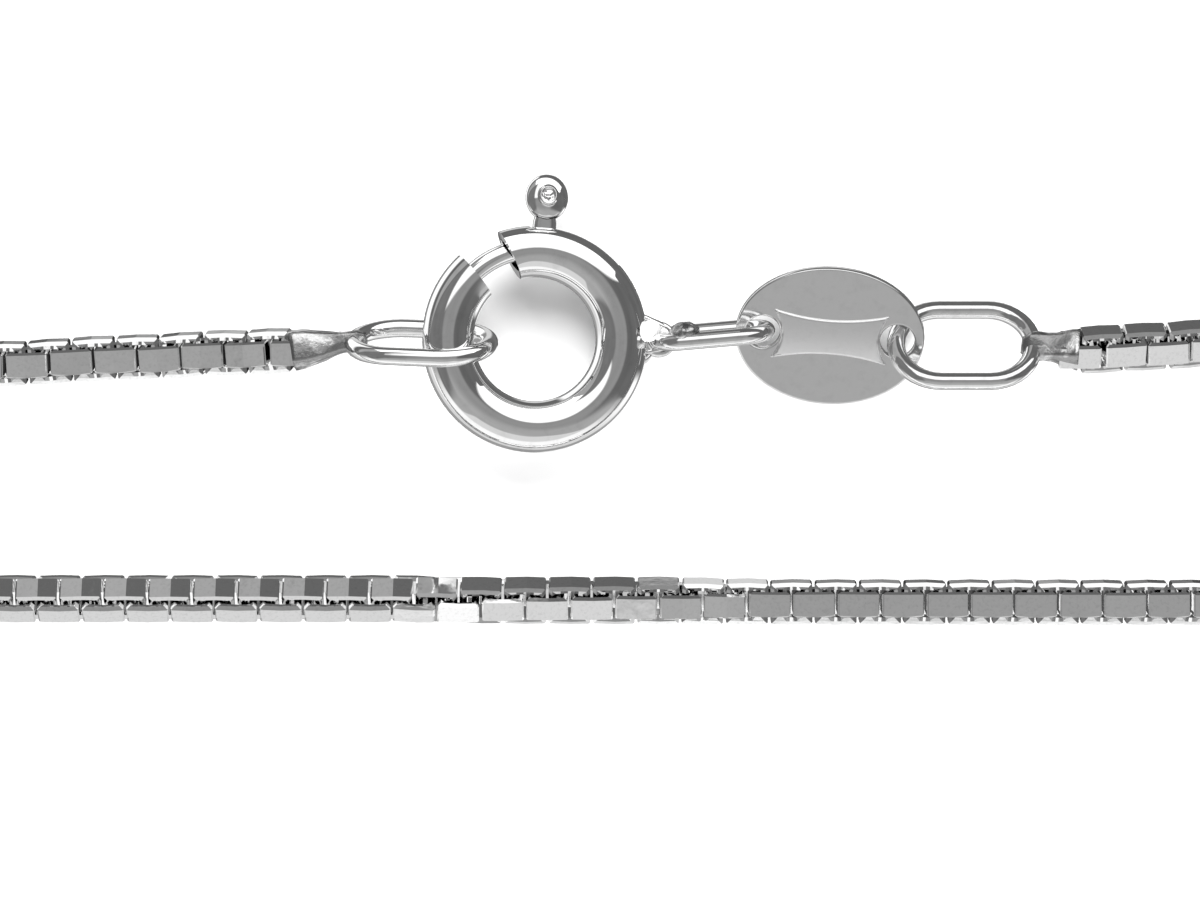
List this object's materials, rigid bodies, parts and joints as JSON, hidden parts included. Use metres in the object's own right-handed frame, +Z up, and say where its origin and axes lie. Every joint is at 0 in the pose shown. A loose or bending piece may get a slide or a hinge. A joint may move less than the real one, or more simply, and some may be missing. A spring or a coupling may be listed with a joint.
{
  "type": "box chain necklace",
  "caption": "Fine box chain necklace lying closed in a long loop, with a spring ring clasp, an oval tag and oval end rings.",
  "frame": {"origin": "on the surface that the necklace lies on, midway between its two straight runs and between its two round ends", "axes": "+X along the runs, with the clasp at -X of the middle and the tag at +X; +Y across the loop, towards the run with the clasp; +Z up from the surface"},
  "size_m": [0.193, 0.045, 0.0027],
  "materials": {
    "chain_metal": "polished",
    "ring_metal": "polished",
    "clasp_metal": "polished",
    "tag_metal": "polished"
  },
  "bodies": {
    "necklace": {"chain_left": "chain_metal", "chain_right": "chain_metal", "end_ring_left": "ring_metal", "end_ring_right": "ring_metal", "clasp_body": "clasp_metal", "eye_link": "ring_metal", "tag": "tag_metal"},
    "latch": {"clasp_latch": "clasp_metal"}
  },
  "joints": [
    {"name": "latch_slide", "type": "hinge", "parent": "necklace", "child": "latch", "pos_m": [-0.00158, 0.0033, 0.00117], "axis": [0.1564, 0, 0.9877], "range_deg": [-38, 0], "stiffness_Nm_per_rad": 0.000005, "springref_deg": 5.73}
  ]
}
